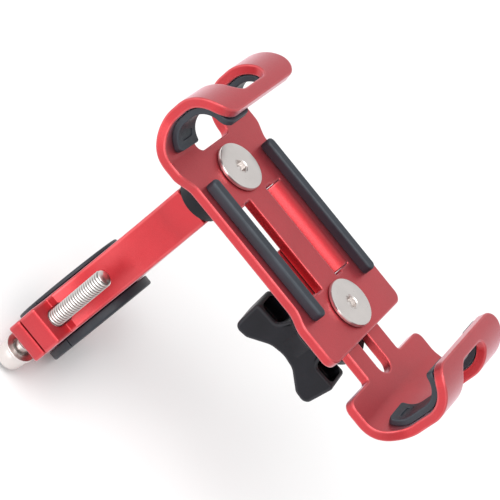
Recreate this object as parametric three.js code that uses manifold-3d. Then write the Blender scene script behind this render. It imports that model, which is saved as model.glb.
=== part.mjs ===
// Phone handlebar mount: a split clamp with an upright arm, and a sliding-claw phone
// holder that swivels on top of it. Millimetres, +Z up. The origin is the centre of the
// handlebar bore, X runs along the handlebar, and +Y points to the clamp's hinge.
import * as THREE from 'three';
import { mergeVertices } from 'three/addons/utils/BufferGeometryUtils.js';
import Module from 'manifold-3d';

const wasm = await Module();
wasm.setup();

// ---- driving dimensions -------------------------------------------------------------
const GAP = 0.3;             // working gap between neighbouring pieces
const SHEET = 3.4;           // thickness of both holder plates
const PLATE_TOP = 82;        // top face of the main plate
const SLIDE_X = 55;          // slide screw, measured from the swivel axis

const BAR_R = 15.9;          // handlebar radius, 31.8 mm bar
const LINER_T = 1.4;         // liner wall
const LINER_FLANGE_R = 20.8;
const LINER_X = [-8.7, 10.6]; // outer faces of the liner flanges
const JAW_R_IN = BAR_R + LINER_T + GAP;
const JAW_R_OUT = 22;
const JAW_HALF_X = 7;        // half width of the clamp and the arm
const SPLIT = 0.5;           // half of the gap between the jaws
const LINER_SPLIT = 0.15;    // half of the gap between the liners
const EAR_Y = -33;           // outer face of both ears
const UPPER_EAR_T = 7;
const LOWER_EAR_T = 5.5;
const BOLT_Y = -26.5;
const HINGE_Y = 25;
const KNUCKLE_R = 4.4;
const KNUCKLE_HALF_X = 3;    // half width of the arm's middle knuckle
const PIN_R = 2;

const ARM_TOP = 62.4;
const ARM_HALF_Y = 5.6;
const BOLT_R = 3;
const BOLT_TIP = 34;
const BOLT_HEAD_TOP = -13.6;
const BOLT_HEAD = { r: 5, h: 6, hex: 2.9, depth: 3 };

const WAIST = 23.7;          // half width of the main plate at its waist
const PLATE_WIDE = 26.3;     // half width at its ends
const PLATE_END = 65.9;
const CLAW_HALF = 22.8;      // half width of a claw's upright part
const LIP_HALF = 23.6;
const CLAW_BASE = 27.4;      // half width of the sliding plate's shoulder
const BEND_R = 11.5;         // centre-line radius of the claw bends
const BEND_X_FIXED = -12.8;  // start of the fixed claw's bend
const BEND_X_SLIDE = 84.6;   // start of the sliding claw's bend
const LIP_BEND_Z = PLATE_TOP + 12.8;
const LIP_ANGLE = 80;        // degrees turned by the upper bend
const LIP_REACH = 2.6;       // straight part of the lip
const LIP_CORNER = 6.5;
const WINDOW_HALF = 9.8;

const SLOT = { y0: 5.56, notchY: 8.9, x0: 10, x1: 46, relief: 0.6 };
const RAIL = { x0: 11, x1: 45, face: 8.2, depth: 8.6, roll: 6.6, overlap: 0.6 };
const TONGUE = { x0: 28, half: 7.8, step: 64.6, wide: 11.84, shoulder: 77.2 };
const TONGUE_TOP = PLATE_TOP - SHEET - GAP;
const TONGUE_SLOT = { x0: 39.5, x1: 79.7, half: 3.6 };

const DISC = { r: 8.5, h: 1.5, hex: 2.3, depth: 1.2 };
const SCREW_R = 3;
const STRIP = { y: 19.1, w: 3.6, h: 3.7, x0: -1.6, x1: 52 };
const PAD_T = 2.2;
const PAD_HALF = CLAW_HALF - 1;
const PAD_START_FIXED = 2;   // points of the claws' centre lines where their pads begin
const PAD_START_SLIDE = 4;
const PAD_SETBACK = 1;       // how far a pad stays inside the lip's edge
const PAD_WINDOW_HALF = 10.4;
const PAD_WINDOW_TOP = 19.6; // top of the pad's window, above the main plate
const SPACER_R = 8.15;
const SWIVEL_WASHER_T = 2.4;

const KNOB_TOP = TONGUE_TOP - SHEET - GAP - 1.2 - GAP;
const KNOB = { flangeR: 15.4, hubR: 6.4, height: 16, half: 18.5, wingY: 5.4, turn: 5 };
const KNOB_POCKET = { x0: 8, x1: 16.9, half: 4.3, bottom: 19, top: 5 };

// ---- colours ------------------------------------------------------------------------
const LOOKS = {
  red: { color: 0xb5222c, roughness: 0.38, metalness: 0.75 },
  steel: { color: 0xd2ccc6, roughness: 0.24, metalness: 1.0 },
  rubber: { color: 0x33373d, roughness: 0.8, metalness: 0.0 },
  plastic: { color: 0x22242a, roughness: 0.55, metalness: 0.0 },
};

// ---- solids -------------------------------------------------------------------------
function solid(geometry) {
  const g = geometry.clone();
  g.deleteAttribute('normal');
  g.deleteAttribute('uv');
  const merged = mergeVertices(g, 1e-4);
  return new wasm.Manifold(new wasm.Mesh({
    numProp: 3,
    vertProperties: Float32Array.from(merged.attributes.position.array),
    triVerts: Uint32Array.from(merged.index.array),
  }));
}

function geometryOf(body) {
  const mesh = body.getMesh();
  const g = new THREE.BufferGeometry();
  g.setAttribute('position', new THREE.BufferAttribute(Float32Array.from(mesh.vertProperties), 3));
  g.setIndex(new THREE.BufferAttribute(Uint32Array.from(mesh.triVerts), 1));
  g.computeVertexNormals();
  return g;
}

const union = (...parts) => parts.reduce((a, b) => a.add(b));
const cut = (body, ...tools) => tools.reduce((a, b) => a.subtract(b), body);

function box(x0, x1, y0, y1, z0, z1) {
  const g = new THREE.BoxGeometry(x1 - x0, y1 - y0, z1 - z0);
  g.translate((x0 + x1) / 2, (y0 + y1) / 2, (z0 + z1) / 2);
  return solid(g);
}

function shapeOf(points) {
  return new THREE.Shape(points.map(([a, b]) => new THREE.Vector2(a, b)));
}

// A plan outline (x, y), extruded upwards.
function alongZ(shape, z0, z1, curveSegments = 8) {
  const g = new THREE.ExtrudeGeometry(shape, { depth: z1 - z0, bevelEnabled: false, curveSegments });
  g.translate(0, 0, z0);
  return solid(g);
}

// A side outline (x, z), extruded along Y.
function alongY(shape, y0, y1, curveSegments = 8) {
  const g = new THREE.ExtrudeGeometry(shape, { depth: y1 - y0, bevelEnabled: false, curveSegments });
  g.rotateX(Math.PI / 2);
  g.translate(0, y1, 0);
  return solid(g);
}

// A front outline (y, z), extruded along X.
function alongX(shape, x0, x1, curveSegments = 8) {
  const g = new THREE.ExtrudeGeometry(shape, { depth: x1 - x0, bevelEnabled: false, curveSegments });
  g.rotateX(Math.PI / 2);
  g.rotateZ(Math.PI / 2);
  g.translate(x0, 0, 0);
  return solid(g);
}

function rod(x, y, z0, z1, r, segments = 24) {
  const g = new THREE.CylinderGeometry(r, r, z1 - z0, segments);
  g.rotateX(Math.PI / 2);
  g.translate(x, y, (z0 + z1) / 2);
  return solid(g);
}

function rodX(x0, x1, y, z, r, segments = 20) {
  const g = new THREE.CylinderGeometry(r, r, x1 - x0, segments);
  g.rotateZ(Math.PI / 2);
  g.translate((x0 + x1) / 2, y, z);
  return solid(g);
}

// A turned piece on a vertical axis, from (radius, z) points that start and end on it.
function turned(x, y, profile, segments = 28) {
  const g = new THREE.LatheGeometry(profile.map(([r, z]) => new THREE.Vector2(r, z)), segments);
  g.rotateX(Math.PI / 2);
  g.translate(x, y, 0);
  return solid(g);
}

function arcPoints(cx, cz, r, fromDeg, toDeg, steps) {
  const points = [];
  for (let i = 0; i <= steps; i += 1) {
    const a = THREE.MathUtils.degToRad(fromDeg + (toDeg - fromDeg) * i / steps);
    points.push([cx + r * Math.cos(a), cz + r * Math.sin(a)]);
  }
  return points;
}

// A band of constant thickness between two offsets from a centre line, by mitred normals.
function band(path, inner, outer) {
  const left = [];
  const right = [];
  path.forEach(([x, z], i) => {
    const [ax, az] = path[Math.max(i - 1, 0)];
    const [bx, bz] = path[Math.min(i + 1, path.length - 1)];
    const length = Math.hypot(bx - ax, bz - az);
    const nx = -(bz - az) / length;
    const nz = (bx - ax) / length;
    left.push([x + nx * inner, z + nz * inner]);
    right.push([x + nx * outer, z + nz * outer]);
  });
  return shapeOf([...left, ...right.reverse()]);
}

// The centre line of a claw, seen from the side, opening towards +X: from the flat plate
// through the lower bend, up the back and over into the lip. The flat starts at flatX.
function clawPath(flatX, bendX, plateZ) {
  const lower = arcPoints(bendX, plateZ + BEND_R, BEND_R, -90, -180, 8);
  const upper = arcPoints(bendX, LIP_BEND_Z, BEND_R, 180, 180 - LIP_ANGLE, 8);
  const [ex, ez] = upper[upper.length - 1];
  const a = THREE.MathUtils.degToRad(90 - LIP_ANGLE);
  const end = [ex + LIP_REACH * Math.cos(a), ez + LIP_REACH * Math.sin(a)];
  return [[flatX, plateZ], ...lower, ...upper, end];
}

const mirrorX = (path, x) => path.map(([px, pz]) => [2 * x - px, pz]);

function capsule(x0, x1, half) {
  const shape = new THREE.Shape();
  shape.moveTo(x0 + half, -half);
  shape.lineTo(x1 - half, -half);
  shape.absarc(x1 - half, 0, half, -Math.PI / 2, Math.PI / 2, false);
  shape.lineTo(x0 + half, half);
  shape.absarc(x0 + half, 0, half, Math.PI / 2, Math.PI * 1.5, false);
  return shape;
}

function roundedBox(a0, a1, b0, b1, r) {
  const shape = new THREE.Shape();
  shape.moveTo(a0 + r, b0);
  shape.lineTo(a1 - r, b0);
  shape.absarc(a1 - r, b0 + r, r, -Math.PI / 2, 0, false);
  shape.lineTo(a1, b1 - r);
  shape.absarc(a1 - r, b1 - r, r, 0, Math.PI / 2, false);
  shape.lineTo(a0 + r, b1);
  shape.absarc(a0 + r, b1 - r, r, Math.PI / 2, Math.PI, false);
  shape.lineTo(a0, b0 + r);
  shape.absarc(a0 + r, b0 + r, r, Math.PI, Math.PI * 1.5, false);
  return shape;
}

// Removes the square corner beyond a rounded one at (x, y); sx and sy point outwards.
function cornerTool(x, y, sx, sy, r, z0, z1) {
  const shape = new THREE.Shape();
  const far = 3;
  const cx = x - sx * r;
  const cy = y - sy * r;
  const start = sy > 0 ? Math.PI / 2 : -Math.PI / 2;
  const end = sx > 0 ? 0 : Math.PI * Math.sign(start);
  shape.moveTo(cx, y + sy * far);
  shape.lineTo(cx, y);
  shape.absarc(cx, cy, r, start, end, sx * sy > 0);
  shape.lineTo(x + sx * far, cy);
  shape.lineTo(x + sx * far, y + sy * far);
  return alongZ(shape, z0, z1, 6);
}

// The hourglass flanks of a claw: everything outside them is removed between x0 and x1.
function flankTools(x0, x1, baseHalf, plateZ) {
  const far = 40;
  const top = PLATE_TOP + far;
  return [-1, 1].map((side) => {
    const points = [
      [baseHalf, plateZ - 6],
      [baseHalf, plateZ + 1],
      [baseHalf - 1.2, plateZ + 3],
      [CLAW_HALF + 0.8, plateZ + 6.5],
      [CLAW_HALF, plateZ + 10],
      [CLAW_HALF, plateZ + 16],
      [LIP_HALF, plateZ + 23],
      [LIP_HALF, top],
      [far, top],
      [far, plateZ - 6],
    ];
    return alongX(shapeOf(points.map(([y, z]) => [side * y, z])), x0, x1);
  });
}

// ---- holder plates ------------------------------------------------------------------
const MAIN_MID = PLATE_TOP - SHEET / 2;
const TONGUE_MID = TONGUE_TOP - SHEET / 2;
const FIXED_PATH = clawPath(PLATE_END, BEND_X_FIXED, MAIN_MID);
const SLIDE_PATH = mirrorX(clawPath(2 * BEND_X_SLIDE - TONGUE.x0, BEND_X_SLIDE, TONGUE_MID), BEND_X_SLIDE);
const LIP_TIP = FIXED_PATH[FIXED_PATH.length - 1][0];
const SLIDE_LIP_TIP = SLIDE_PATH[SLIDE_PATH.length - 1][0];
const TOP = PLATE_TOP + 40;

function halfOutline(points) {
  const mirrored = points.map(([x, y]) => [x, -y]).reverse();
  return shapeOf([...points, ...mirrored]);
}

function mainPlan() {
  return halfOutline([
    [-40, PLATE_WIDE + 0.3],
    [-9.5, PLATE_WIDE + 0.3],
    [-7.5, PLATE_WIDE - 0.2],
    [-4.5, WAIST + 0.7],
    [-2, WAIST],
    [44.5, WAIST],
    [46.5, WAIST + 0.4],
    [49.5, PLATE_WIDE - 0.5],
    [52, PLATE_WIDE],
    [PLATE_END + 1, PLATE_WIDE],
  ]);
}

// The guide rail beside a slot: the sheet rolls over and hangs down next to the tongue.
function railSolid(side) {
  const axisY = RAIL.face + RAIL.roll;
  const axisZ = PLATE_TOP - RAIL.roll;
  const points = [
    [axisY + RAIL.overlap, PLATE_TOP],
    ...arcPoints(axisY, axisZ, RAIL.roll, 90, 180, 8),
    [RAIL.face, PLATE_TOP - RAIL.depth],
    [RAIL.face + SHEET, PLATE_TOP - RAIL.depth],
    ...arcPoints(axisY, axisZ, RAIL.roll - SHEET, 180, 90, 6),
    [axisY + RAIL.overlap, PLATE_TOP - SHEET],
  ];
  return alongX(shapeOf(points.map(([y, h]) => [side * y, h])), RAIL.x0, RAIL.x1);
}

// The opening beside a rail: a narrow notch along the middle bar, and the rail's own width.
function slotTools(side) {
  const rollY = RAIL.face + RAIL.roll;
  const spans = [
    [SLOT.x0, SLOT.x1, SLOT.y0, SLOT.notchY],
    [SLOT.x0 + SLOT.relief, SLOT.x1 - SLOT.relief, SLOT.notchY - 1, rollY],
  ];
  return spans.map(([x0, x1, y0, y1]) => {
    const [low, high] = [side * y0, side * y1].sort((p, q) => p - q);
    return box(x0, x1, low, high, 70, PLATE_TOP + 1);
  });
}

function mainPlate() {
  let body = alongY(band(FIXED_PATH, -SHEET / 2, SHEET / 2), -30, 30);
  body = body.intersect(alongZ(mainPlan(), 0, TOP));
  body = cut(body, ...flankTools(-40, BEND_X_FIXED + 1, PLATE_WIDE + 0.3, MAIN_MID));
  for (const side of [-1, 1]) {
    body = cut(
      body,
      cornerTool(PLATE_END, side * PLATE_WIDE, 1, side, 3.5, 70, PLATE_TOP + 1),
      cornerTool(LIP_TIP, side * LIP_HALF, 1, side, LIP_CORNER, PLATE_TOP + 8, TOP),
      ...slotTools(side),
    );
    body = body.add(railSolid(side));
  }
  const windowPlan = roundedBox(-40, BEND_X_FIXED + 1.8, -WINDOW_HALF, WINDOW_HALF, 2.4);
  const windowFront = roundedBox(-WINDOW_HALF, WINDOW_HALF, PLATE_TOP - 12, PLATE_TOP + 23.6, 4);
  body = cut(
    body,
    alongZ(windowPlan, 60, PLATE_TOP + 8),
    alongX(windowFront, -40, BEND_X_FIXED - 6),
    rod(0, 0, 70, PLATE_TOP + 1, SCREW_R + GAP),
    rod(SLIDE_X, 0, 70, PLATE_TOP + 1, SCREW_R + GAP),
  );
  return body;
}

function slidePlan() {
  return halfOutline([
    [TONGUE.x0 - 1, TONGUE.half],
    [TONGUE.step, TONGUE.half],
    [TONGUE.step, TONGUE.wide],
    [TONGUE.shoulder - 2, TONGUE.wide],
    [TONGUE.shoulder - 0.6, TONGUE.wide + 0.6],
    [TONGUE.shoulder, TONGUE.wide + 2],
    [TONGUE.shoulder, CLAW_BASE - 4],
    [TONGUE.shoulder + 1.2, CLAW_BASE - 1.2],
    [TONGUE.shoulder + 4, CLAW_BASE],
    [120, CLAW_BASE],
  ]);
}

function slidingPlate() {
  let body = alongY(band(SLIDE_PATH, -SHEET / 2, SHEET / 2), -30, 30);
  body = body.intersect(alongZ(slidePlan(), 0, TOP));
  body = cut(body, ...flankTools(BEND_X_SLIDE - 1, 120, CLAW_BASE, TONGUE_MID));
  for (const side of [-1, 1]) {
    body = cut(
      body,
      cornerTool(SLIDE_LIP_TIP, side * LIP_HALF, -1, side, LIP_CORNER, PLATE_TOP + 8, TOP),
      cornerTool(TONGUE.x0, side * TONGUE.half, -1, side, 3, 60, PLATE_TOP),
    );
  }
  const windowFront = roundedBox(-WINDOW_HALF, WINDOW_HALF, PLATE_TOP + 6, PLATE_TOP + 23.6, 4);
  return cut(
    body,
    alongX(windowFront, BEND_X_SLIDE + 5, 120),
    alongZ(capsule(TONGUE_SLOT.x0, TONGUE_SLOT.x1, TONGUE_SLOT.half), 60, PLATE_TOP),
  );
}

// A rubber pad lining the inside of a claw from its lower bend to the lip's edge. The
// claw opens towards +X for sign 1 and towards -X for sign -1. The pad leaves the window
// free and is joined under the lip.
function clawPad(path, sign, start) {
  const covered = path.slice(start);
  const near = -sign * (SHEET / 2 + GAP);
  const body = alongY(band(covered, near, near - sign * PAD_T), -PAD_HALF, PAD_HALF);
  const tip = covered[covered.length - 1][0];
  const edge = tip - sign * PAD_SETBACK;
  const beyond = edge + sign * 10;
  return cut(
    body,
    box(tip - 16, tip + 16, -PAD_WINDOW_HALF, PAD_WINDOW_HALF, 60, PLATE_TOP + PAD_WINDOW_TOP),
    box(Math.min(edge, beyond), Math.max(edge, beyond), -PAD_HALF - 1, PAD_HALF + 1, PLATE_TOP + 12, TOP),
  );
}

function strip(side) {
  const g = new THREE.ExtrudeGeometry(capsule(STRIP.x0 + 0.5, STRIP.x1 - 0.5, STRIP.w / 2 - 0.5), {
    depth: STRIP.h - 0.7,
    bevelEnabled: true,
    bevelThickness: 0.7,
    bevelSize: 0.5,
    bevelSegments: 2,
    curveSegments: 6,
  });
  g.translate(0, side * STRIP.y, PLATE_TOP + GAP);
  const body = solid(g);
  return body.subtract(box(-20, 70, -40, 40, PLATE_TOP - 5, PLATE_TOP + GAP));
}

// ---- screws, washers and knob --------------------------------------------------------
function hexTool(x, y, z0, z1, acrossHalf) {
  return rod(x, y, z0, z1, acrossHalf / Math.cos(Math.PI / 6), 6);
}

function discScrew(x, tip) {
  const z = PLATE_TOP + GAP;
  const body = turned(x, 0, [
    [0, tip],
    [SCREW_R - 0.5, tip],
    [SCREW_R, tip + 0.6],
    [SCREW_R, z],
    [DISC.r - 0.3, z],
    [DISC.r, z + 0.3],
    [DISC.r, z + DISC.h - 0.4],
    [DISC.r - 0.4, z + DISC.h],
    [0, z + DISC.h],
  ], 40);
  return cut(body, hexTool(x, 0, z + DISC.h - DISC.depth, z + DISC.h + 1, DISC.hex));
}

function washer(x, y, z0, z1, inner, outer, segments = 28) {
  return rod(x, y, z0, z1, outer, segments).subtract(rod(x, y, z0 - 1, z1 + 1, inner, segments));
}

function wingKnob() {
  const { flangeR, hubR, height, half, wingY, turn } = KNOB;
  const z = (depth) => KNOB_TOP - depth;
  const hub = turned(SLIDE_X, 0, [
    [0, z(height)],
    [hubR, z(height)],
    [hubR, z(10)],
    [hubR + 1, z(7.6)],
    [hubR + 4.1, z(5)],
    [flangeR - 0.8, z(3.4)],
    [flangeR, z(2.6)],
    [flangeR, z(0.5)],
    [flangeR - 0.5, z(0)],
    [0, z(0)],
  ], 32);
  const wings = [
    [-7.2, -8.2],
    [-9, -12.8],
    [-10.2, -13.4],
    [1.4 - half, -13.4],
    [0.4 - half, -13.8],
    [-half, -14.8],
    [1 - half, -24.4],
    [2.2 - half, -26.2],
    [4.4 - half, -26.3],
    [6.8 - half, -25.4],
    [-6.6, -21.8],
    [-4, -20.2],
    [0, -19.7],
  ];
  const outline = [...wings, ...wings.slice(0, -1).reverse().map(([x, d]) => [-x, d])];
  const shape = shapeOf(outline.map(([x, d]) => [SLIDE_X + x, KNOB_TOP + d]));
  const pocket = KNOB_POCKET;
  const pockets = [-1, 1].map((side) => {
    const [x0, x1] = [side * pocket.x0, side * pocket.x1].sort((p, q) => p - q);
    return box(SLIDE_X + x0, SLIDE_X + x1, -pocket.half, pocket.half, z(pocket.bottom), z(pocket.top));
  });
  const blade = cut(alongY(shape, -wingY, wingY), ...pockets);
  const bore = rod(SLIDE_X, 0, z(14.2), z(-1), SCREW_R + GAP);
  const seat = hexTool(SLIDE_X, 0, z(6.3), z(-1), 5 + GAP);
  const wingBlade = blade.translate([-SLIDE_X, 0, 0]).rotate([0, 0, turn]).translate([SLIDE_X, 0, 0]);
  return cut(union(hub, wingBlade), bore, seat);
}

// ---- clamp ---------------------------------------------------------------------------
function halfRing(rIn, rOut, sign, split = SPLIT) {
  const clear = (r) => Math.asin(split / r);
  const shape = new THREE.Shape();
  const outerAngle = clear(rOut);
  const innerAngle = clear(rIn);
  shape.absarc(0, 0, rOut, outerAngle, Math.PI - outerAngle, false);
  shape.absarc(0, 0, rIn, Math.PI - innerAngle, innerAngle, true);
  const points = shape.getPoints(20).map((p) => [p.x, sign * p.y]);
  return shapeOf(points.slice(0, -1));
}

// The arm and upper jaw, seen along the handlebar: the ring's upper half, the threaded
// ear in front, and the upright stalk that sweeps into both.
function armSide() {
  const earTop = SPLIT + UPPER_EAR_T;
  const shape = new THREE.Shape();
  shape.moveTo(-JAW_R_IN - 0.5, SPLIT);
  shape.lineTo(EAR_Y + 0.8, SPLIT);
  shape.lineTo(EAR_Y, SPLIT + 0.8);
  shape.lineTo(EAR_Y, earTop - 0.8);
  shape.lineTo(EAR_Y + 0.8, earTop);
  shape.lineTo(-24.6, earTop);
  shape.lineTo(-24.6, earTop + 3);
  shape.bezierCurveTo(-16, earTop + 9, -ARM_HALF_Y - 2.6, 30, -ARM_HALF_Y, 50);
  shape.lineTo(-ARM_HALF_Y, ARM_TOP);
  shape.lineTo(ARM_HALF_Y, ARM_TOP);
  shape.lineTo(ARM_HALF_Y, 46);
  shape.bezierCurveTo(ARM_HALF_Y + 1, 32, 12, 21, 18.6, 11.6);
  shape.lineTo(JAW_R_OUT - 0.4, SPLIT);
  shape.lineTo(JAW_R_IN + 0.5, SPLIT);
  return shape;
}

function clampArm() {
  let body = alongX(armSide(), -JAW_HALF_X, JAW_HALF_X, 12);
  body = body.subtract(rodX(-20, 20, 0, 0, JAW_R_IN, 48));
  for (const side of [-1, 1]) {
    const x = side * (KNUCKLE_HALF_X + 4);
    body = body.subtract(rodX(x - 4, x + 4, HINGE_Y, 0, KNUCKLE_R + GAP, 24));
  }
  body = body.add(rodX(-KNUCKLE_HALF_X, KNUCKLE_HALF_X, HINGE_Y, 0, KNUCKLE_R, 24));
  return cut(
    body,
    rodX(-20, 20, HINGE_Y, 0, PIN_R + GAP),
    rod(0, BOLT_Y, -1, SPLIT + UPPER_EAR_T + 1, BOLT_R + GAP),
    rod(0, BOLT_Y, SPLIT + UPPER_EAR_T, 60, BOLT_R + 1),
    rod(0, 0, 46, ARM_TOP + 1, SCREW_R + GAP),
  );
}

function lowerJaw() {
  const ring = alongX(halfRing(JAW_R_IN, JAW_R_OUT, -1), -JAW_HALF_X, JAW_HALF_X);
  const z = -SPLIT;
  const ear = shapeOf([
    [-JAW_R_IN - 2, z],
    [EAR_Y + 0.8, z],
    [EAR_Y, z - 0.8],
    [EAR_Y, z - LOWER_EAR_T + 0.8],
    [EAR_Y + 0.8, z - LOWER_EAR_T],
    [-22.4, z - LOWER_EAR_T],
    [-20.2, z - LOWER_EAR_T - 3],
    [-16.6, z - LOWER_EAR_T - 3],
  ]);
  let body = ring.add(alongX(ear, -JAW_HALF_X, JAW_HALF_X)).subtract(rodX(-20, 20, 0, 0, JAW_R_IN, 48));
  for (const side of [-1, 1]) {
    const inner = side * (KNUCKLE_HALF_X + GAP);
    const outer = side * JAW_HALF_X;
    body = body.add(rodX(Math.min(inner, outer), Math.max(inner, outer), HINGE_Y, 0, KNUCKLE_R, 24));
  }
  const middle = KNUCKLE_HALF_X + GAP;
  const hole = capsule(-4.6, 4.6, BOLT_R + 0.9);
  const holeTool = alongZ(hole, -12, 4).rotate([0, 0, 90]).translate([0, BOLT_Y, 0]);
  return cut(
    body,
    rodX(-middle, middle, HINGE_Y, 0, KNUCKLE_R + GAP, 24),
    rodX(-20, 20, HINGE_Y, 0, PIN_R + GAP),
    holeTool,
  );
}

function liner(sign) {
  const wall = halfRing(BAR_R, BAR_R + LINER_T, sign, LINER_SPLIT);
  const flange = halfRing(BAR_R, LINER_FLANGE_R, sign, LINER_SPLIT);
  const inside = JAW_HALF_X + GAP;
  return union(
    alongX(wall, LINER_X[0] + 0.1, LINER_X[1] - 0.1),
    alongX(flange, LINER_X[0], -inside),
    alongX(flange, inside, LINER_X[1]),
  );
}

function hingePin() {
  const shaft = rodX(-JAW_HALF_X - 1.2, JAW_HALF_X + 1.2, HINGE_Y, 0, PIN_R);
  const head = JAW_HALF_X + GAP;
  return union(
    shaft,
    rodX(-head - 1.5, -head, HINGE_Y, 0, PIN_R + 1.1),
    rodX(head, head + 1.5, HINGE_Y, 0, PIN_R + 1.1),
  );
}

function clampBolt() {
  const top = BOLT_HEAD_TOP;
  const { r, h, hex, depth } = BOLT_HEAD;
  const body = turned(0, BOLT_Y, [
    [0, top - h],
    [r - 0.5, top - h],
    [r, top - h + 0.5],
    [r, top],
    [BOLT_R, top],
    [BOLT_R, BOLT_TIP - 0.9],
    [BOLT_R - 0.9, BOLT_TIP],
    [0, BOLT_TIP],
  ]);
  return cut(body, hexTool(0, BOLT_Y, top - h - 1, top - h + depth, hex));
}

// ---- assembly ------------------------------------------------------------------------
const underPlate = PLATE_TOP - SHEET;
const spacerTop = underPlate - GAP - SWIVEL_WASHER_T - GAP;
const slideWasherTop = TONGUE_TOP - SHEET - GAP;
const insertTop = KNOB_TOP - 0.6;
const boltWasherZ = BOLT_HEAD_TOP + GAP;

const pieces = [
  ['clamp_arm', 'red', clampArm()],
  ['lower_jaw', 'red', lowerJaw()],
  ['upper_liner', 'rubber', liner(1)],
  ['lower_liner', 'rubber', liner(-1)],
  ['hinge_pin', 'steel', hingePin()],
  ['clamp_bolt', 'steel', clampBolt()],
  ['bolt_washer', 'steel', washer(0, BOLT_Y, boltWasherZ, boltWasherZ + 1.2, BOLT_R + GAP, 5.6)],
  ['swivel_spacer', 'plastic', washer(0, 0, ARM_TOP + GAP, spacerTop, SCREW_R + GAP, SPACER_R)],
  ['swivel_washer', 'rubber', washer(0, 0, spacerTop + GAP, underPlate - GAP, SCREW_R + GAP, SPACER_R - 0.4)],
  ['swivel_screw', 'steel', discScrew(0, 47.5)],
  ['main_plate', 'red', mainPlate()],
  ['phone_strip_near', 'rubber', strip(-1)],
  ['phone_strip_far', 'rubber', strip(1)],
  ['fixed_claw_pad', 'rubber', clawPad(FIXED_PATH, 1, PAD_START_FIXED)],
  ['slide_screw', 'steel', discScrew(SLIDE_X, KNOB_TOP - 13.4)],
  ['slide_washer', 'steel', washer(SLIDE_X, 0, KNOB_TOP + GAP, slideWasherTop, SCREW_R + GAP, 8)],
  ['sliding_plate', 'red', slidingPlate()],
  ['sliding_claw_pad', 'rubber', clawPad(SLIDE_PATH, -1, PAD_START_SLIDE)],
  ['wing_knob', 'plastic', wingKnob()],
  ['knob_insert', 'steel', hexTool(SLIDE_X, 0, insertTop - 5.2, insertTop, 5)
    .subtract(rod(SLIDE_X, 0, insertTop - 8, insertTop + 2, SCREW_R + GAP))],
];

const group = new THREE.Group();
for (const [name, look, body] of pieces) {
  const mesh = new THREE.Mesh(geometryOf(body), new THREE.MeshStandardMaterial(LOOKS[look]));
  mesh.name = name;
  group.add(mesh);
}

export default group;
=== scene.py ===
"""Phone handlebar mount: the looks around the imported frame. All sizes below are in millimetres."""

import math

import bmesh
import bpy
import numpy as np
from mathutils import Matrix, Vector


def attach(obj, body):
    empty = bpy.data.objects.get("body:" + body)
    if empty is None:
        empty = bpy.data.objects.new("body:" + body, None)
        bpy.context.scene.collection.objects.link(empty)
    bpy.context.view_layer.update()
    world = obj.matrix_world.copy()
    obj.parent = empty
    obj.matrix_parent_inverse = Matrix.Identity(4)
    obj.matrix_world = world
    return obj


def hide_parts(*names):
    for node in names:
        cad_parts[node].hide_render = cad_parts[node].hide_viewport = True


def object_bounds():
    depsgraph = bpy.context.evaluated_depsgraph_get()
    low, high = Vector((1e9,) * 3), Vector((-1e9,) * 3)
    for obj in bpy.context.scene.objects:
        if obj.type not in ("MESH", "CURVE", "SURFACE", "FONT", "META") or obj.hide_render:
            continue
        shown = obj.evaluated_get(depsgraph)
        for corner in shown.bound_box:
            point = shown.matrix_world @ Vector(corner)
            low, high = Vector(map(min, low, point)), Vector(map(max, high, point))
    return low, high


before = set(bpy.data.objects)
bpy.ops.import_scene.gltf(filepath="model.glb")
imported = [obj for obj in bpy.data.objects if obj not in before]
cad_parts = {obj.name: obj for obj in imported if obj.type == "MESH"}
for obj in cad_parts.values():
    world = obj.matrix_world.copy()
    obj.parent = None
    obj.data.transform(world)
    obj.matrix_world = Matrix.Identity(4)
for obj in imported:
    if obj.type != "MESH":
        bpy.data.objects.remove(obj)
cad_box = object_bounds()

MM = 0.001
SHEET = 3.4
PLATE_TOP = 82.0
SLIDE_X = 55.0
GAP = 0.3
BEND_R = 11.5
LIP_BEND_Z = PLATE_TOP + 12.8
LIP_ANGLE = math.radians(80)
LIP_REACH = 2.6
BEND_X_FIXED = -12.8
BEND_X_SLIDE = 84.6
MAIN_MID = PLATE_TOP - SHEET / 2
TONGUE_TOP = PLATE_TOP - SHEET - GAP
TONGUE_MID = TONGUE_TOP - SHEET / 2
UNDER = PLATE_TOP - SHEET
WASHER = 1.2
RUBBER_WASHER = 2.4
SPACER_BOTTOM = 62.7
KNOB_TOP = TONGUE_TOP - SHEET - GAP - WASHER - GAP
KNOB_TURN = math.radians(5)
BORE_R = 3.3
SHARP = 0.0001
EDGE = 0.45
JAW_IN, JAW_OUT = 17.6, 22.0
JAW_HALF = 7
BOLT_Y = -26.5
BOLT_HEAD_TOP = -13.6
THREAD_PITCH = 1.15
HINGE_Y = 25
LINER_BORE = 15.9
LINER_MID = 18
ROLL_R = 6.6
ROLL_Y = 8.2 + ROLL_R
RAIL_BOTTOM = PLATE_TOP - 8.6


# ---- materials ------------------------------------------------------------------------
def new_material(name):
    material = bpy.data.materials.new(name)
    material.use_nodes = True
    nodes = material.node_tree.nodes
    nodes.clear()
    out = nodes.new("ShaderNodeOutputMaterial")
    surface = nodes.new("ShaderNodeBsdfPrincipled")
    material.node_tree.links.new(surface.outputs[0], out.inputs[0])
    return material, surface


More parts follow.
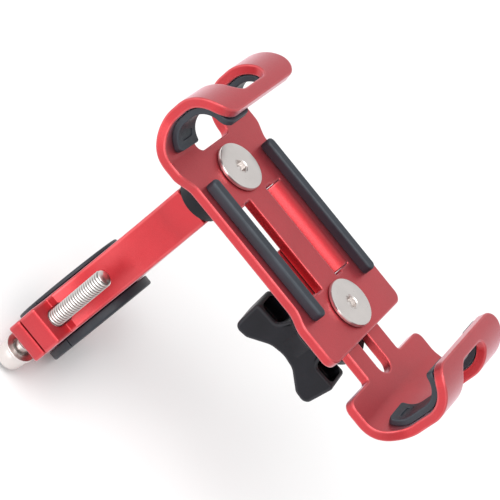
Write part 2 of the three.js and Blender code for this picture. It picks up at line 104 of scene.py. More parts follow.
class Tree:
    """Short names for the nodes that the materials below are made of."""

    def __init__(self, material):
        self.nodes = material.node_tree.nodes
        self.links = material.node_tree.links
        self.place = self.nodes.new("ShaderNodeTexCoord").outputs["Object"]

    def put(self, value, socket):
        if isinstance(value, bpy.types.NodeSocket):
            self.links.new(value, socket)
        else:
            socket.default_value = value

    def noise(self, scale, detail, rough=0.5):
        node = self.nodes.new("ShaderNodeTexNoise")
        node.inputs["Scale"].default_value = scale
        node.inputs["Detail"].default_value = detail
        node.inputs["Roughness"].default_value = rough
        self.links.new(self.place, node.inputs["Vector"])
        return node.outputs["Fac"]

    def ramp(self, value, low, high, out_low=0.0, out_high=1.0):
        node = self.nodes.new("ShaderNodeMapRange")
        for key, number in (("From Min", low), ("From Max", high), ("To Min", out_low), ("To Max", out_high)):
            node.inputs[key].default_value = number
        self.links.new(value, node.inputs["Value"])
        return node.outputs["Result"]

    def math(self, kind, a, b):
        node = self.nodes.new("ShaderNodeMath")
        node.operation = kind
        self.put(a, node.inputs[0])
        self.put(b, node.inputs[1])
        return node.outputs[0]

    def mix(self, share, a, b):
        node = self.nodes.new("ShaderNodeMix")
        node.data_type = "RGBA"
        self.put(share, node.inputs["Factor"])
        self.put(a, node.inputs["A"])
        self.put(b, node.inputs["B"])
        return node.outputs["Result"]

    def attribute(self, name):
        node = self.nodes.new("ShaderNodeAttribute")
        node.attribute_name = name
        return node.outputs["Fac"]

    def bump(self, height, distance, strength):
        node = self.nodes.new("ShaderNodeBump")
        node.inputs["Strength"].default_value = strength
        node.inputs["Distance"].default_value = distance
        self.links.new(height, node.inputs["Height"])
        return node.outputs["Normal"]


def red_anodised():
    """Bead-blasted aluminium with a clear red anodised skin: a fine grain, paler on its edges, which is
    partly edge wear and partly a painted highlight.
    """
    material, surface = new_material("red_anodised")
    t = Tree(material)
    cloud = t.ramp(t.noise(60, 3), 0.3, 0.7)
    grain = t.noise(3200, 2, 0.6)
    fine = t.ramp(grain, 0.3, 0.7)
    colour = t.mix(cloud, (0.46, 0.007, 0.014, 1), (0.53, 0.011, 0.021, 1))
    speck = t.mix(t.math("MULTIPLY", fine, 0.30), colour, (0.66, 0.035, 0.045, 1))
    edge_wear_and_highlight = t.attribute("edge_wear_and_highlight")
    # paler edges: edge wear plus a painted edge highlight, patchy with noise
    edge_paling = t.math("MULTIPLY", edge_wear_and_highlight, t.ramp(t.noise(220, 4), 0.25, 0.75, 0.12, 0.5))
    t.put(t.mix(edge_paling, speck, (0.80, 0.16, 0.17, 1)), surface.inputs["Base Color"])
    rough = t.ramp(t.noise(900, 3), 0.2, 0.8, 0.40, 0.50)
    t.put(t.math("SUBTRACT", rough, t.math("MULTIPLY", edge_wear_and_highlight, 0.06)), surface.inputs["Roughness"])
    surface.inputs["Metallic"].default_value = 0.92
    surface.inputs["Coat Weight"].default_value = 1.0
    surface.inputs["Coat IOR"].default_value = 1.45
    surface.inputs["Coat Roughness"].default_value = 0.32
    surface.inputs["Sheen Weight"].default_value = 0.30
    surface.inputs["Sheen Roughness"].default_value = 0.45
    surface.inputs["Sheen Tint"].default_value = (1.0, 0.80, 0.98, 1)
    t.put(t.bump(grain, 0.00011, 0.6), surface.inputs["Normal"])
    return material


def nickel():
    """Nickel-plated steel: a satin, slightly warm metal with fine turning marks, painted paler on its edges
    and thread crests (wear and painted highlight) and near black where painted shade is set.
    """
    material, surface = new_material("nickel")
    t = Tree(material)
    tint = (0.80, 0.755, 0.73)
    cloud = t.ramp(t.noise(140, 3), 0.3, 0.7)
    dark = tuple(0.9 * c for c in tint) + (1,)
    edge_wear_and_highlight = t.attribute("edge_wear_and_highlight")
    base = t.mix(cloud, dark, tint + (1,))
    # edges and thread crests painted paler: wear plus a painted highlight
    bright = t.mix(t.math("MULTIPLY", edge_wear_and_highlight, 0.4), base, (0.9, 0.88, 0.86, 1))
    # painted shade: near black in the screw sockets and thread roots
    shade = t.attribute("shade")
    t.put(t.mix(shade, bright, (0.035, 0.028, 0.028, 1)), surface.inputs["Base Color"])
    t.put(t.ramp(t.noise(500, 3), 0.2, 0.8, 0.26, 0.34), surface.inputs["Roughness"])
    surface.inputs["Metallic"].default_value = 1.0
    t.put(t.bump(t.noise(2200, 2), 0.000006, 0.3), surface.inputs["Normal"])
    return material


def rubber():
    """Moulded silicone rubber: blue-grey black with a soft sheen and a fine matt texture."""
    material, surface = new_material("rubber")
    t = Tree(material)
    cloud = t.ramp(t.noise(90, 4), 0.3, 0.7)
    base = t.mix(cloud, (0.010, 0.015, 0.023, 1), (0.016, 0.022, 0.033, 1))
    edge_wear_and_highlight = t.attribute("edge_wear_and_highlight")
    dust = t.math("MULTIPLY", edge_wear_and_highlight, t.ramp(t.noise(300, 3), 0.3, 0.7, 0.1, 0.5))
    t.put(t.mix(dust, base, (0.040, 0.050, 0.064, 1)), surface.inputs["Base Color"])
    t.put(t.ramp(t.noise(1200, 3), 0.2, 0.8, 0.42, 0.58), surface.inputs["Roughness"])
    surface.inputs["Specular IOR Level"].default_value = 0.55
    t.put(t.bump(t.noise(2400, 3), 0.00006, 0.5), surface.inputs["Normal"])
    return material


def nylon():
    """Glass-filled black nylon: moulded, slightly mottled, semi-matt."""
    material, surface = new_material("black_nylon")
    t = Tree(material)
    cloud = t.ramp(t.noise(120, 5), 0.25, 0.75)
    base = t.mix(cloud, (0.006, 0.006, 0.009, 1), (0.011, 0.011, 0.016, 1))
    edge_wear_and_highlight = t.attribute("edge_wear_and_highlight")
    # edges painted paler: partly wear, partly a painted bevel highlight
    t.put(t.mix(t.math("MULTIPLY", edge_wear_and_highlight, 0.35), base, (0.06, 0.06, 0.068, 1)), surface.inputs["Base Color"])
    t.put(t.ramp(t.noise(700, 4), 0.2, 0.8, 0.34, 0.5), surface.inputs["Roughness"])
    surface.inputs["Specular IOR Level"].default_value = 0.22
    t.put(t.bump(t.noise(1500, 4), 0.00008, 0.5), surface.inputs["Normal"])
    return material


RED = red_anodised()
STEEL = nickel()
RUBBER = rubber()
NYLON = nylon()


# ---- shapes ---------------------------------------------------------------------------
def fillet(points, radius, closed=True, steps=5):
    """The polyline with its corners rounded. radius is one number, or one for each point."""
    count = len(points)
    radii = [radius] * count if isinstance(radius, (int, float)) else list(radius)
    out = []
    for i, (px, py) in enumerate(points):
        r = radii[i]
        if r <= 0 or (not closed and i in (0, count - 1)):
            out.append((px, py))
            continue
        p = Vector((px, py))
        a = Vector(points[i - 1]) - p
        b = Vector(points[(i + 1) % count]) - p
        angle = a.angle(b)
        if angle > math.radians(176):
            out.append((px, py))
            continue
        reach = min(r / math.tan(angle / 2), 0.49 * a.length, 0.49 * b.length)
        r = reach * math.tan(angle / 2)
        centre = p + (a.normalized() + b.normalized()).normalized() * (r / math.sin(angle / 2))
        start = p + a.normalized() * reach - centre
        end = p + b.normalized() * reach - centre
        sweep = start.angle(end)
        for k in range(steps + 1):
            u = k / steps
            if sweep < 1e-6:
                q = start
            else:
                q = (start * math.sin((1 - u) * sweep) + end * math.sin(u * sweep)) / math.sin(sweep)
            out.append(tuple(centre + q))
    return out


def arc(cx, cy, r, a0, a1, steps):
    """Points on an arc between two angles in degrees."""
    angles = [math.radians(a0 + (a1 - a0) * k / steps) for k in range(steps + 1)]
    return [(cx + r * math.cos(a), cy + r * math.sin(a)) for a in angles]


def circle(cx, cy, r, steps):
    return arc(cx, cy, r, 0, 360, steps)[:-1]


def capsule(x0, x1, half, y=0.0):
    return arc(x1 - half, y, half, -90, 90, 14) + arc(x0 + half, y, half, 90, 270, 14)


def rectangle(x0, x1, y0, y1, r):
    return fillet([(x0, y0), (x1, y0), (x1, y1), (x0, y1)], r, True, 6)


def bezier(a, b, c, d, steps):
    out = []
    for k in range(steps + 1):
        u = k / steps
        v = 1 - u
        w = (v ** 3, 3 * v * v * u, 3 * v * u * u, u ** 3)
        out.append(tuple(sum(wi * p[j] for wi, p in zip(w, (a, b, c, d))) for j in (0, 1)))
    return out


def blend_curve(x0, y0, x1, y1, steps=10):
    """A smooth S between two levels."""
    out = []
    for k in range(steps + 1):
        u = k / steps
        out.append((x0 + (x1 - x0) * u, y0 + (y1 - y0) * u * u * (3 - 2 * u)))
    return out


def clean(loop, least=0.02):
    """The loop without points that lie on top of each other."""
    out = []
    for p in loop:
        if not out or math.dist(p, out[-1]) > least:
            out.append(p)
    if math.dist(out[0], out[-1]) <= least:
        out.pop()
    return out


def oriented(loop, outside):
    p = np.array(clean(loop), float)
    q = np.roll(p, -1, 0)
    area = ((p[:, 0] * q[:, 1] - q[:, 0] * p[:, 1]).sum()) / 2
    return p if (area > 0) == outside else p[::-1].copy()


def inset(p, d):
    """A loop moved into its material by d, with mitred corners."""
    before = p - np.roll(p, 1, 0)
    after = np.roll(p, -1, 0) - p
    before /= np.linalg.norm(before, axis=1)[:, None]
    after /= np.linalg.norm(after, axis=1)[:, None]
    n1 = np.stack([-before[:, 1], before[:, 0]], 1)
    n2 = np.stack([-after[:, 1], after[:, 0]], 1)
    m = n1 + n2
    m /= np.linalg.norm(m, axis=1)[:, None]
    share = np.clip((m * n1).sum(1), 0.55, 1)
    return p + m * (d / share)[:, None]


def slab(loops, h0, h1, low=0.35, high=0.35, steps=3, rim=0.5):
    """A bmesh prism of outline loops (the outside first, then holes) from height h0 to h1.
    Its edges are rounded by the radii low and high. Its edge layer is 1 on the rounded edges, which the
    materials paint paler: partly edge wear, partly painted highlight."""
    bm = bmesh.new()
    edge_paling = bm.verts.layers.float.new("edge_wear_and_highlight")
    layers = []
    if rim:
        layers.append((low + rim, h0, 0.0))
    for k in range(steps + 1):
        a = math.pi / 2 * k / steps
        layers.append((low * (1 - math.sin(a)), h0 + low * (1 - math.cos(a)), 1.0))
    if rim and h1 - h0 > low + high + 2.2 * rim:
        layers.append((0.0, h0 + low + rim, 0.0))
        layers.append((0.0, h1 - high - rim, 0.0))
    for k in range(steps, -1, -1):
        a = math.pi / 2 * k / steps
        layers.append((high * (1 - math.sin(a)), h1 - high * (1 - math.cos(a)), 1.0))
    if rim:
        layers.append((high + rim, h1, 0.0))
    caps = ([], [])
    for index, loop in enumerate(loops):
        base = oriented(loop, index == 0)
        rings = []
        for offset, h, edge_wear_and_highlight in layers:
            ring = []
            for x, y in (inset(base, offset) if offset > 1e-9 else base):
                v = bm.verts.new((x, y, h))
                v[edge_paling] = edge_wear_and_highlight
                ring.append(v)
            rings.append(ring)
        for a, b in zip(rings, rings[1:]):
            n = len(a)
            for i in range(n):
                bm.faces.new((a[i], a[(i + 1) % n], b[(i + 1) % n], b[i]))
        for cap, ring in zip(caps, (rings[0], rings[-1])):
            for i in range(len(ring)):
                cap.append(bm.edges.get((ring[i], ring[(i + 1) % len(ring)])))
    for cap in caps:
        bmesh.ops.triangle_fill(bm, use_beauty=True, use_dissolve=False, edges=cap)
    return bm


def slice_along(bm, axis, places):
    """Cuts the mesh across an axis at each place, so that it can bend there."""
    normal = [0.0, 0.0, 0.0]
    normal[axis] = 1.0
    for place in places:
        at = [0.0, 0.0, 0.0]
        at[axis] = place
        geometry = bm.verts[:] + bm.edges[:] + bm.faces[:]
        bmesh.ops.bisect_plane(bm, geom=geometry, dist=1e-5, plane_co=at, plane_no=normal)
    return bm


def mapped(bm, rule):
    for v in bm.verts:
        v.co = rule(*v.co)
    return bm


def merged(*pieces):
    """Several bmeshes in one."""
    mesh = bpy.data.meshes.new("part")
    whole = bmesh.new()
    whole.verts.layers.float.new("edge_wear_and_highlight")
    whole.verts.layers.float.new("shade")
    for bm in pieces:
        bm.to_mesh(mesh)
        bm.free()
        whole.from_mesh(mesh)
    bpy.data.meshes.remove(mesh)
    return whole


def piece(name, bm, material, body, replaced, sharp=32.0, shade=None):
    """The finished bmesh as an object that rides on a body and stands for a CAD node.
    shade says how dark a point is painted, as painted shade, from 0 to 1."""
    if shade:
        layer = bm.verts.layers.float.new("shade")
        for v in bm.verts:
            v[layer] = shade(v.co)
    bmesh.ops.scale(bm, vec=(MM, MM, MM), verts=bm.verts[:])
    bmesh.ops.recalc_face_normals(bm, faces=bm.faces[:])
    mesh = bpy.data.meshes.new(name)
    bm.to_mesh(mesh)
    bm.free()
    mesh.shade_smooth()
    mesh.set_sharp_from_angle(angle=math.radians(sharp))
    obj = bpy.data.objects.new(name, mesh)
    bpy.context.scene.collection.objects.link(obj)
    mesh.materials.append(material)
    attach(obj, body)
    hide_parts(replaced)


def boolean(bm, tool, kind="DIFFERENCE"):
    """One bmesh cut by another, or joined to it. Both are used up."""
    objects = []
    for source in (bm, tool):
        bmesh.ops.recalc_face_normals(source, faces=source.faces[:])
        mesh = bpy.data.meshes.new("boolean")
        source.to_mesh(mesh)
        source.free()
        obj = bpy.data.objects.new("boolean", mesh)
        bpy.context.scene.collection.objects.link(obj)
        objects.append(obj)
    modifier = objects[0].modifiers.new("boolean", "BOOLEAN")
    modifier.object = objects[1]
    modifier.operation = kind
    modifier.solver = "EXACT"
    graph = bpy.context.evaluated_depsgraph_get()
    result = bpy.data.meshes.new_from_object(objects[0].evaluated_get(graph))
    out = bmesh.new()
    out.from_mesh(result)
    for obj in objects:
        mesh = obj.data
        bpy.data.objects.remove(obj)
        bpy.data.meshes.remove(mesh)
    bpy.data.meshes.remove(result)
    return out


def along_x(bm):
    """A slab drawn in (y, z) and extruded along x."""
    return mapped(bm, lambda a, b, h: (h, a, b))


def lathe(cx, cy, profile, segments=64, corner=0.0, closed=False):
    """A turned piece on a vertical axis from (radius, z) points. closed makes a ring."""
    points = clean(fillet(profile, corner, closed, 4) if corner else profile, 0.005)
    bm = bmesh.new()
    bm.verts.layers.float.new("edge_wear_and_highlight")
    columns = []
    for k in range(segments):
        a = 2 * math.pi * k / segments
        column = []
        for i, (r, z) in enumerate(points):
            if r < 1e-6:
                column.append(columns[0][i] if columns else bm.verts.new((cx, cy, z)))
                continue
            column.append(bm.verts.new((cx + r * math.cos(a), cy + r * math.sin(a), z)))
        columns.append(column)
    n = len(points)
    for i in range(n if closed else n - 1):
        j = (i + 1) % n
        for k in range(segments):
            a, b = columns[k], columns[(k + 1) % segments]
            corners = []
            for v in (a[i], a[j], b[j], b[i]):
                if v not in corners:
                    corners.append(v)
            if len(corners) > 2:
                bm.faces.new(corners)
    return bm


def hex_prism(cx, cy, z0, z1, half):
    r = half / math.cos(math.pi / 6)
    return slab([circle(cx, cy, r, 6)], z0, z1, SHARP, SHARP, 1, 0)


# ---- holder plates --------------------------------------------------------------------
class Claw:
    """A claw's centre line, unrolled: x runs on past the bend's start as a length along it."""

    def __init__(self, bend_x, plate_z, sign):
        self.bend_x, self.plate_z, self.sign = bend_x, plate_z, sign
        self.rise = LIP_BEND_Z - plate_z - BEND_R
        self.first = BEND_R * math.pi / 2
        self.second = self.first + self.rise
        self.third = self.second + BEND_R * LIP_ANGLE
        self.end = self.third + LIP_REACH

    def at(self, s, y, t):
        """The point at length s, side y and height t above the centre line."""
        sign, u = self.sign, self.sign * (s - self.bend_x)
        if u <= 0:
            return (s, y, self.plate_z + t)
        if u < self.first:
            a = u / BEND_R
            x, z = BEND_R * math.sin(a), self.plate_z + BEND_R * (1 - math.cos(a))
            nx, nz = -math.sin(a), math.cos(a)
        elif u < self.second:
            x, z = BEND_R, self.plate_z + BEND_R + u - self.first
            nx, nz = -1.0, 0.0
        else:
            a = min(u - self.second, BEND_R * LIP_ANGLE) / BEND_R
            extra = max(u - self.third, 0.0)
            x = BEND_R * math.cos(a) - extra * math.sin(a)
            z = LIP_BEND_Z + BEND_R * math.sin(a) + extra * math.cos(a)
            nx, nz = -math.cos(a), -math.sin(a)
        return (self.bend_x + sign * (x + nx * t), y, z + nz * t)

    def s(self, u):
        """The place along the centre line at a length past the bend's start."""
        return self.bend_x + self.sign * u

    def height(self, u):
        return self.at(self.s(u), 0, 0)[2]

    def cuts(self):
        """Where the sheet is sliced so that it bends smoothly: every 3.5 degrees of a bend."""
        out = [self.s(0)]
        pitch = BEND_R * math.radians(3.5)
        for a, b, p in ((0, self.first, pitch), (self.first, self.second, 1.5),
                        (self.second, self.third, pitch), (self.third, self.end, 1.3)):
            count = max(1, round((b - a) / p))
            out += [self.s(a + (b - a) * k / count) for k in range(1, count + 1)]
        return out

    def flank(self, base):
        """The claw's half width along its centre line, from the bend's start to the lip's edge."""
        levels = [(-6, base), (1, base), (3, base - 1.2), (6.5, 23.6), (10, 22.8),
                  (16, 22.8), (23, 23.6), (60, 23.6)]
        z = [self.plate_z + a for a, _ in levels]
        w = [b for _, b in levels]
        us = np.linspace(0, self.end, 60)
        raw = np.array([np.interp(self.height(u), z, w) for u in us])
        raw[us > self.third] = 23.6
        soft = np.convolve(np.pad(raw, 3, mode="edge"), np.ones(7) / 7, mode="valid")
        return [(self.s(u), y) for u, y in zip(us, soft)]

    def bent(self, bm):
        slice_along(bm, 0, self.cuts())
        return mapped(bm, self.at)


FIXED = Claw(BEND_X_FIXED, MAIN_MID, -1)
SLIDING = Claw(BEND_X_SLIDE, TONGUE_MID, 1)


def both_sides(half):
    """A closed outline from its +y half."""
    return clean(half + [(x, -y) for x, y in reversed(half)], 0.05)


def lip_corner(claw, flank):
    """The flank's end with the lip's corner rounded."""
    r = 6.5
    edge = claw.s(claw.end)
    y = flank[-1][1]
    kept = [p for p in flank if abs(p[0] - edge) > r]
    turn = -claw.sign
    corner = [(edge + turn * r * (1 - math.sin(a)), y - r * (1 - math.cos(a)))
              for a in (math.pi / 2 * k / 10 for k in range(11))]
    return kept + corner


def window(claw, near, near_r):
    """The claw's window, from a place on its centre line up to a height on the lip."""
    far_r, half, top = 4.0, 9.8, PLATE_TOP + 23.6
    u = claw.second + BEND_R * math.asin((top - LIP_BEND_Z) / BEND_R)
    far = claw.s(u)
    points = [(near, -half), (far, -half), (far, half), (near, half)]
    return fillet(points, [near_r, far_r, far_r, near_r], True, 6)


def rail(side):
    """The sheet rolled over beside a slot, hanging down next to the tongue."""
    top = PLATE_TOP - 0.004
    y, z = ROLL_Y, top - ROLL_R
    outline = [(y + 0.6, top)] + arc(y, z, ROLL_R, 90, 180, 18)
    outline += [(y - ROLL_R, RAIL_BOTTOM), (y - ROLL_R + SHEET, RAIL_BOTTOM)]
    outline += arc(y, z, ROLL_R - SHEET, 180, 90, 10) + [(y + 0.6, top - SHEET)]
    return along_x(slab([[(side * a, b) for a, b in outline]], 10.75, 45.25, 0.5, 0.5, 4, 0.3))


def main_plate():
    half = fillet([(60, 0), (65.9, 0), (65.9, 26.3), (54, 26.3)], [0, 0, 3.5, 0], False, 8)[1:]
    half += blend_curve(52, 26.3, 44.5, 23.7) + blend_curve(-2, 23.7, -9.5, 26.6)
    half += lip_corner(FIXED, FIXED.flank(26.6)[1:])
    loops = [both_sides(half), window(FIXED, -11, 2.4)]
    for side in (-1, 1):
        slot = [(10, 5.56), (46, 5.56), (46, 8.9), (45.4, 9.7),
                (45.4, ROLL_Y), (10.6, ROLL_Y), (10.6, 9.7), (10, 8.9)]
        slot = fillet(slot, [0.6, 0.6, 0.4, 0.4, 0, 0, 0.4, 0.4], True, 4)
        loops.append([(x, side * y) for x, y in slot])
    loops += [circle(0, 0, BORE_R, 24), circle(SLIDE_X, 0, BORE_R, 24)]
    sheet = slab(loops, -SHEET / 2, SHEET / 2, EDGE, EDGE, 3, 0.35)
    return merged(FIXED.bent(sheet), rail(-1), rail(1))


def sliding_plate():
    half = fillet([(28, 0), (28, 7.8), (64.6, 7.8), (64.6, 11.84), (77.2, 11.84), (77.2, 27.4), (84, 27.4)],
                  [0, 3, 0.6, 0.8, 1.4, 4, 0], False, 8)
    half += lip_corner(SLIDING, SLIDING.flank(27.4))
    loops = [both_sides(half), window(SLIDING, SLIDING.s(SLIDING.first - 0.1), 4.0), capsule(39.5, 79.7, 3.6)]
    sheet = slab(loops, -SHEET / 2, SHEET / 2, EDGE, EDGE, 3, 0.35)
    return SLIDING.bent(sheet)


def claw_pad(claw, start, lobe):
    """The rubber lining of a claw: two legs beside the window, joined by a bar under the lip.
    start is where the legs begin on the lower bend, and lobe how far the near leg passes the lip's edge."""
    s, low, half = claw.s, SHEET / 2 + GAP, 21.8
    leg = claw.end - 0.8
    top = claw.second + BEND_R * 1.1
    points = [(s(start), -half), (s(leg), -half), (s(claw.end + lobe), -19), (s(claw.end + lobe), -9.5),
              (s(claw.end - 2.2), -6), (s(claw.end - 2.2), 6), (s(leg), 9.5), (s(leg), half),
              (s(start + 2.5), half), (s(start + 2.5), 10.4), (s(top), 10.4), (s(top), -10.4),
              (s(start - 0.4), -10.4)]
    outline = fillet(points, [2, 3, 2, 2, 2, 2, 2, 4, 2, 1.2, 3, 3, 1.2], True, 6)
    base = claw.bent(slab([outline], low, low + 1.85, 0.3, 0.01, 3, 0.3))
    grooves = []
    for side in (-1, 1):
        a, b = s(start + 4.2), s(start + 7.8)
        grooves.append(rectangle(min(a, b), max(a, b), side * 19.4, side * 12.8, 1.2))
    skin = claw.bent(slab([outline] + grooves, low + 1.8, low + 2.2, 0.01, 0.38, 4, 0.3))
    return merged(base, skin)


piece("holder_plate", main_plate(), RED, "holder", "main_plate")
piece("sliding_claw", sliding_plate(), RED, "slider", "sliding_plate")
piece("claw_lining_fixed", claw_pad(FIXED, 2.2, 0.9), RUBBER, "holder", "fixed_claw_pad")
piece("claw_lining_sliding", claw_pad(SLIDING, 6.8, -0.8), RUBBER, "slider", "sliding_claw_pad")

for side, name in ((-1, "near"), (1, "far")):
    outline = capsule(-1.6, 52, 1.8, side * 19.1)
    bar = slab([outline], PLATE_TOP + GAP, PLATE_TOP + GAP + 3.7, 0.25, 0.75, 5, 0.3)
    piece("rest_strip_" + name, bar, RUBBER, "holder", "phone_strip_" + name)


# ---- screws and washers ---------------------------------------------------------------
def disc_screw(x, tip):
    z = PLATE_TOP + GAP
    profile = [(0, tip), (2.5, tip), (3, tip + 0.6), (3, z), (8.3, z), (8.5, z + 0.2), (8.5, z + 1.15),
               (8.35, z + 1.4), (8.05, z + 1.5), (0, z + 1.5)]
    body = lathe(x, 0, profile, 96)
    dish = [(0, z + 1.25), (2.3, z + 1.25), (2.75, z + 1.6), (2.75, z + 3), (0, z + 3)]
    body = boolean(body, lathe(x, 0, dish, 48))
    body = boolean(body, hex_prism(x, 0, z + 0.1, z + 3, 2.0))
    boss = [(0, z), (0.9, z), (0.9, z + 0.3), (0.4, z + 0.55), (0, z + 0.6)]
    return merged(body, lathe(x, 0, boss, 24))


def socket_painted_shade(x):
    """Painted shade in the screw's socket, with the middle of its floor left unshaded."""
    def shade(co):
        r = math.hypot(co.x - x, co.y)
        # painted shade on the socket walls; the floor's middle stays unshaded
        return 0.88 if PLATE_TOP + GAP + 1.4 > co.z > PLATE_TOP - 1 and 1.0 < r < 2.75 else 0.0
    return shade


def ring(x, y, z0, z1, inner, outer, corner=0.25):
    return lathe(x, y, [(inner, z0), (outer, z0), (outer, z1), (inner, z1)], 72, corner, True)


piece("disc_screw_swivel", disc_screw(0, 47.5), STEEL, "clamp", "swivel_screw", shade=socket_painted_shade(0))
piece("disc_screw_slide", disc_screw(SLIDE_X, KNOB_TOP - 13.4), STEEL, "holder", "slide_screw",
      shade=socket_painted_shade(SLIDE_X))
washer = ring(SLIDE_X, 0, KNOB_TOP + GAP, TONGUE_TOP - SHEET - GAP, BORE_R, 8)
piece("washer_slide", washer, STEEL, "holder", "slide_washer")
spacer = ring(0, 0, SPACER_BOTTOM, UNDER - GAP - RUBBER_WASHER - GAP, BORE_R, 8.15, 0.6)
piece("spacer_disc", spacer, NYLON, "clamp", "swivel_spacer")
pad = ring(0, 0, UNDER - GAP - RUBBER_WASHER, UNDER - GAP, BORE_R, 7.75, 0.5)
piece("spacer_pad", pad, RUBBER, "clamp", "swivel_washer")


# ---- clamp ----------------------------------------------------------------------------
def cylinder_x(x0, x1, r, edge=SHARP):
    """A cylinder on the hinge's axis."""
    return along_x(slab([circle(HINGE_Y, 0, r, 48)], x0, x1, edge, edge, 1 if edge == SHARP else 2, 0))


def cylinder_z(x, y, z0, z1, r):
    return slab([circle(x, y, r, 40)], z0, z1, SHARP, SHARP, 1, 0)


def clamp_arm():
    inner0 = math.degrees(math.asin(0.5 / JAW_IN))
    outline = [(-33, 0.5), (-33, 7.5), (-24.6, 7.5), (-24.6, 10.2)]
    outline = fillet(outline, [0.9, 0.9, 0.4, 0], False, 4)
    outline += bezier((-24.6, 10.5), (-16, 16.5), (-8.2, 30), (-5.6, 50), 26)
    outline += fillet([(-5.6, 52), (-5.6, 62.4), (5.6, 62.4), (5.6, 47)], [0, 0.6, 0.6, 0], False, 3)
    outline += bezier((5.6, 46), (6.6, 32), (12, 21), (18.6, 11.6), 22)
    outline += arc(0, 0, 21.9, 32, 1.4, 12)
    outline += arc(0, 0, JAW_IN, inner0, 180 - inner0, 56)
    body = along_x(slab([outline], -JAW_HALF, JAW_HALF, 0.7, 0.7, 4, 0.5))
    for side in (-1, 1):
        low, high = sorted((3 * side, 12 * side))
        body = boolean(body, cylinder_x(low, high, 4.7))
    body = boolean(body, cylinder_x(-3, 3, 4.4, 0.3), "UNION")
    body = boolean(body, cylinder_x(-20, 20, 2.3))
    body = boolean(body, cylinder_z(0, BOLT_Y, -1, 9, BORE_R))
    body = boolean(body, cylinder_z(0, BOLT_Y, 7.5, 60, 4))
    return boolean(body, cylinder_z(0, 0, 46, 64, BORE_R))


def lower_jaw():
    outer0 = math.degrees(math.asin(0.5 / JAW_OUT))
    inner0 = math.degrees(math.asin(0.5 / JAW_IN))
    outline = arc(0, 0, JAW_OUT, -outer0, -151.5, 48)
    outline += [(-20.8, -9.0), (-22.4, -6.0)]
    outline += fillet([(-22.4, -6.0), (-33, -6), (-33, -0.5), (-20, -0.5)], [0, 0.9, 0.9, 0], False, 4)
    outline += arc(0, 0, JAW_IN, -180 + inner0, -inner0, 48)
    body = along_x(slab([outline], -JAW_HALF, JAW_HALF, 0.7, 0.7, 4, 0.5))
    body = boolean(body, cylinder_x(-3.3, 3.3, 4.7))
    for side in (-1, 1):
        low, high = sorted((3.3 * side, JAW_HALF * side))
        body = boolean(body, cylinder_x(low, high, 4.4, 0.3), "UNION")
    body = boolean(body, cylinder_x(-20, 20, 2.3))
    hole = slab([[(y, x + BOLT_Y) for x, y in capsule(-4.6, 4.6, 3.9)]], -12, 4, SHARP, SHARP, 1, 0)
    return boolean(body, hole)


def liner(sign):
    profile = [(-8.7, LINER_BORE), (10.6, LINER_BORE), (10.6, 20.8), (7.3, 20.8), (7.3, 17.3), (-7.3, 17.3),
               (-7.3, 20.8), (-8.7, 20.8)]
    outline = fillet(profile, [0.3, 0.3, 0.7, 0.4, 0.3, 0.3, 0.4, 0.6], True, 4)
    gap = 0.15 / LINER_BORE
    length = (math.pi - 2 * gap) * LINER_MID
    body = slab([outline], 0, length, 0.25, 0.25, 2, 0.25)
    slice_along(body, 2, [length * k / 60 for k in range(1, 60)])

    def wrap(x, r, h):
        a = gap + h / LINER_MID
        return (x, r * math.cos(a), sign * r * math.sin(a))

    return mapped(body, wrap)


def hinge_pin():
    heads = [cylinder_x(x0, x1, 3.1, 0.5) for x0, x1 in ((-8.8, -7.3), (7.3, 8.8))]
    return merged(cylinder_x(-8.2, 8.2, 2), *heads)


def thread(x, y, z0, z1, crest, pitch, depth):
    """A true helical screw thread between two heights, with a flat chamfered tip."""
    bm = bmesh.new()
    edge_paling = bm.verts.layers.float.new("edge_wear_and_highlight")
    dark = bm.verts.layers.float.new("shade")
    around, per_turn = 48, 12
    rows = round((z1 - z0) / pitch * per_turn)
    rings = []
    for i in range(rows + 1):
        z = z0 + (z1 - z0) * i / rows
        row = []
        for k in range(around):
            a = 2 * math.pi * k / around
            v = abs((z / pitch - k / around) % 1.0 * 2 - 1)
            tooth = min(1.0, max(0.0, (v - 0.14) / 0.66))
            r = min(crest - depth * (1 - tooth), crest - 0.7 + z1 - z)
            vert = bm.verts.new((x + r * math.cos(a), y + r * math.sin(a), z))
            # crests painted paler (wear and painted highlight), roots painted dark as painted shade
            vert[edge_paling] = tooth
            vert[dark] = 0.92 * (1 - tooth) ** 1.5
            row.append(vert)
        rings.append(row)
    for a, b in zip(rings, rings[1:]):
        for k in range(around):
            j = (k + 1) % around
            bm.faces.new((a[k], a[j], b[j], b[k]))
    bm.faces.new(rings[0][::-1])
    bm.faces.new(rings[-1])
    return bm


def clamp_bolt():
    y, top = BOLT_Y, BOLT_HEAD_TOP
    head = lathe(0, y, [(0, top - 6), (4.55, top - 6), (4.85, top - 5.7), (5, top - 5.4), (5, top - 0.15),
                        (4.85, top), (0, top)], 64)
    head = boolean(head, hex_prism(0, y, top - 8, top - 3, 2.9))
    shank = lathe(0, y, [(0, top - 0.5), (2.6, top - 0.5), (2.6, 4), (0, 4)], 40)
    return merged(head, shank, thread(0, y, -9.5, 34, 3.0, THREAD_PITCH, 0.6))


piece("arm_and_upper_jaw", clamp_arm(), RED, "clamp", "clamp_arm")
piece("jaw_lower", lower_jaw(), RED, "jaw", "lower_jaw")
piece("bar_liner_upper", liner(1), RUBBER, "clamp", "upper_liner")
piece("bar_liner_lower", liner(-1), RUBBER, "jaw", "lower_liner")
piece("pin_hinge", hinge_pin(), STEEL, "clamp", "hinge_pin")
piece("bolt_clamp", clamp_bolt(), STEEL, "bolt", "clamp_bolt", sharp=50)
piece("washer_bolt", ring(0, BOLT_Y, -13.3, -12.1, BORE_R, 5.6), STEEL, "bolt", "bolt_washer")


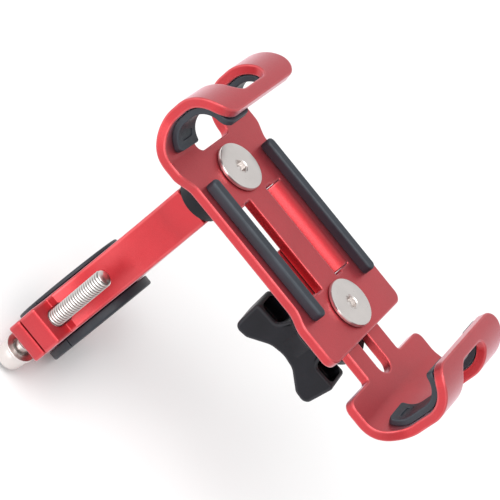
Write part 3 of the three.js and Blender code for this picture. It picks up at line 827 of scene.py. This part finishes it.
# ---- wing knob ------------------------------------------------------------------------
def wing_knob():
    """A flange and hub with two wings, each wing hollowed from above."""
    def z(depth):
        return KNOB_TOP - depth

    profile = [(0, z(16)), (6.4, z(16)), (6.4, z(10)), (7.4, z(7.6)), (10.5, z(5.0)),
               (14.6, z(3.4)), (15.4, z(2.6)), (15.4, z(0.5)), (14.9, z(0)), (0, z(0))]
    hub = lathe(SLIDE_X, 0, profile, 96)
    wing = [(-7.2, -8.2), (-9.4, -13.4), (-18.5, -13.4), (-17.2, -26.6),
            (-12.0, -26.0), (-5.0, -20.6), (0, -19.6)]
    radii = [0.3, 2.0, 1.6, 3.0, 3.5, 6, 8]
    outline = wing + [(-x, d) for x, d in reversed(wing[:-1])]
    radii += list(reversed(radii[:-1]))
    outline = fillet([(SLIDE_X + x, KNOB_TOP + d) for x, d in outline], radii, True, 8)
    blade = slab([outline], -5.4, 5.4, 0.8, 0.8, 4, 0.5)
    blade = mapped(blade, lambda a, b, h: (a, -h, b))
    for side in (-1, 1):
        x0, x1 = sorted((SLIDE_X + side * 8.0, SLIDE_X + side * 16.9))
        pocket = rectangle(x0, x1, -4.3, 4.3, 2.0)
        blade = boolean(blade, slab([pocket], z(19), z(5), 0.8, 0.1, 3, 0.3))
    spin = Matrix.Rotation(KNOB_TURN, 3, "Z")
    axis = Vector((SLIDE_X, 0, 0))
    blade = mapped(blade, lambda x, y, h: axis + spin @ (Vector((x, y, h)) - axis))
    body = boolean(hub, blade, "UNION")
    body = boolean(body, cylinder_z(SLIDE_X, 0, z(14.2), z(-1), BORE_R))
    return boolean(body, hex_prism(SLIDE_X, 0, z(6.3), z(-1), 5.3))


piece("knob_wing", wing_knob(), NYLON, "knob", "wing_knob")
insert = hex_prism(SLIDE_X, 0, KNOB_TOP - 5.8, KNOB_TOP - 0.6, 5)
insert = boolean(insert, cylinder_z(SLIDE_X, 0, KNOB_TOP - 9, KNOB_TOP + 2, BORE_R))
piece("insert_hex", insert, STEEL, "knob", "knob_insert")


# ---- floor, light and camera ----------------------------------------------------------
def floor():
    material, surface = new_material("pale_floor")
    t = Tree(material)
    tone = t.ramp(t.noise(6, 2), 0.3, 0.7)
    t.put(t.mix(tone, (0.90, 0.90, 0.90, 1), (0.92, 0.92, 0.92, 1)), surface.inputs["Base Color"])
    surface.inputs["Roughness"].default_value = 0.8
    mesh = bpy.data.meshes.new("floor")
    z = cad_box[0][2] - 0.0003
    size = 6.0
    corners = [(-size, -size, z), (size, -size, z), (size, size, z), (-size, size, z)]
    mesh.from_pydata(corners, [], [(0, 1, 2, 3)])
    obj = bpy.data.objects.new("floor", mesh)
    bpy.context.scene.collection.objects.link(obj)
    mesh.materials.append(material)


def area_light(name, place, target, size, power):
    data = bpy.data.lights.new(name, "AREA")
    data.shape = "RECTANGLE"
    data.size, data.size_y = size
    data.energy = power
    obj = bpy.data.objects.new(name, data)
    bpy.context.scene.collection.objects.link(obj)
    obj.location = place
    direction = Vector(target) - Vector(place)
    obj.rotation_euler = direction.to_track_quat("-Z", "Y").to_euler()


floor()
world = bpy.data.worlds.new("studio")
world.use_nodes = True
world.node_tree.nodes["Background"].inputs["Color"].default_value = (1, 1, 1, 1)
world.node_tree.nodes["Background"].inputs["Strength"].default_value = 0.80
bpy.context.scene.world = world
centre = (0.035, 0.0, 0.07)
area_light("overhead", (-0.3, -0.6, 1.3), centre, (1.2, 1.2), 15)
area_light("key", (-0.5, -1.5, 0.25), centre, (1.4, 0.5), 6)

camera_data = bpy.data.cameras.new("camera")
camera_data.lens = 145.4
camera_data.sensor_width = 36.0
camera_data.clip_start = 0.02
camera_data.clip_end = 20.0
camera = bpy.data.objects.new("camera", camera_data)
bpy.context.scene.collection.objects.link(camera)
right = Vector((0.62975, 0.44328, 0.63789))
up = Vector((-0.77668, 0.37346, 0.50724))
back = Vector((-0.01338, -0.81488, 0.57948))
turn = Matrix((right, up, back)).transposed().to_4x4()
camera.matrix_world = Matrix.Translation((0.0138, -0.5251, 0.4392)) @ turn
bpy.context.scene.camera = camera
bpy.context.scene.view_settings.view_transform = "Standard"
